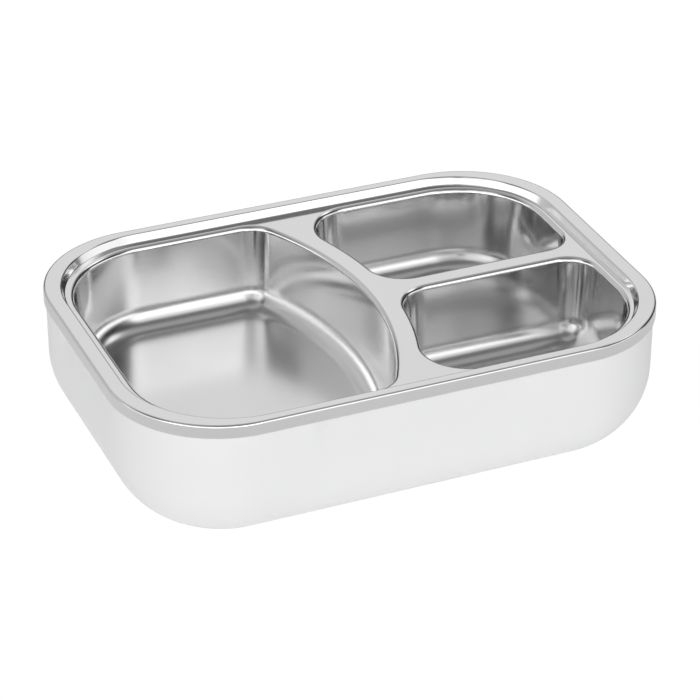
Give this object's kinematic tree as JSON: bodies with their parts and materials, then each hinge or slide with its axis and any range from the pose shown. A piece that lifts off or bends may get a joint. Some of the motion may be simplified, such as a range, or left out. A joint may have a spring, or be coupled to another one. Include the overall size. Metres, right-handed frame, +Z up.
{
  "type": "electric lunch box",
  "caption": "Open electric lunch box body: plastic casing with a lift-out steel tray in compartments over a sealed heating plate.",
  "frame": {"origin": "on the table, under the middle of the box", "axes": "+X along the length, towards the two small compartments; +Y across, towards the power inlet; +Z up"},
  "size_m": [0.23, 0.1634, 0.0635],
  "materials": {
    "casing_plastic": "satin moulded polypropylene",
    "liner_plastic": "moulded polypropylene, slightly textured",
    "tray_steel": "pressed stainless steel, satin",
    "plate_aluminium": "die cast, anodised",
    "tube_aluminium": "extruded, mill finish",
    "seal_silicone": "grey silicone",
    "gasket_silicone": "red silicone",
    "screw_steel": "zinc plated",
    "stone_ceramic": "sintered heating ceramic",
    "strip_brass": "rolled strip",
    "film_amber": "polyimide film",
    "strap_steel": "pressed strip",
    "phenolic": "moulded phenolic",
    "fuse_metal": "drawn can with tinned leads",
    "sleeve_fibre": "woven glass fibre sleeve",
    "inlet_plastic": "moulded, dark",
    "pin_nickel": "nickel plated brass",
    "cover_plastic": "moulded polypropylene",
    "foot_rubber": "moulded rubber",
    "wire_brown": "silicone insulation",
    "wire_white": "silicone insulation",
    "wire_blue": "silicone insulation"
  },
  "bodies": {
    "base": {"outer_casing": "casing_plastic", "inner_liner": "liner_plastic", "rim_seal": "seal_silicone", "heating_plate": "plate_aluminium", "plate_gasket": "gasket_silicone", "plate_screws": "screw_steel", "heater_tube": "tube_aluminium", "ceramic_stones": "stone_ceramic", "heater_electrodes": "strip_brass", "heater_films": "film_amber", "heater_clamps": "strap_steel", "bracket_screws": "screw_steel", "thermostat_cap": "tube_aluminium", "thermostat_body": "phenolic", "thermostat_terminals": "strip_brass", "thermostat_bracket": "strap_steel", "thermal_fuse": "fuse_metal", "fuse_sleeve": "sleeve_fibre", "fuse_clip": "strap_steel", "power_inlet": "inlet_plastic", "inlet_pins": "pin_nickel", "inlet_screws": "screw_steel", "base_cover": "cover_plastic", "base_screws": "screw_steel", "rubber_feet": "foot_rubber", "live_wire": "wire_brown", "fuse_wire": "wire_white", "thermostat_wire": "wire_white", "neutral_wire": "wire_blue"},
    "tray": {"food_tray": "tray_steel"}
  },
  "joints": [
    {"name": "tray_lift", "type": "slide", "parent": "base", "child": "tray", "axis": [0, 0, 1], "range_m": [0, 0.06]}
  ]
}
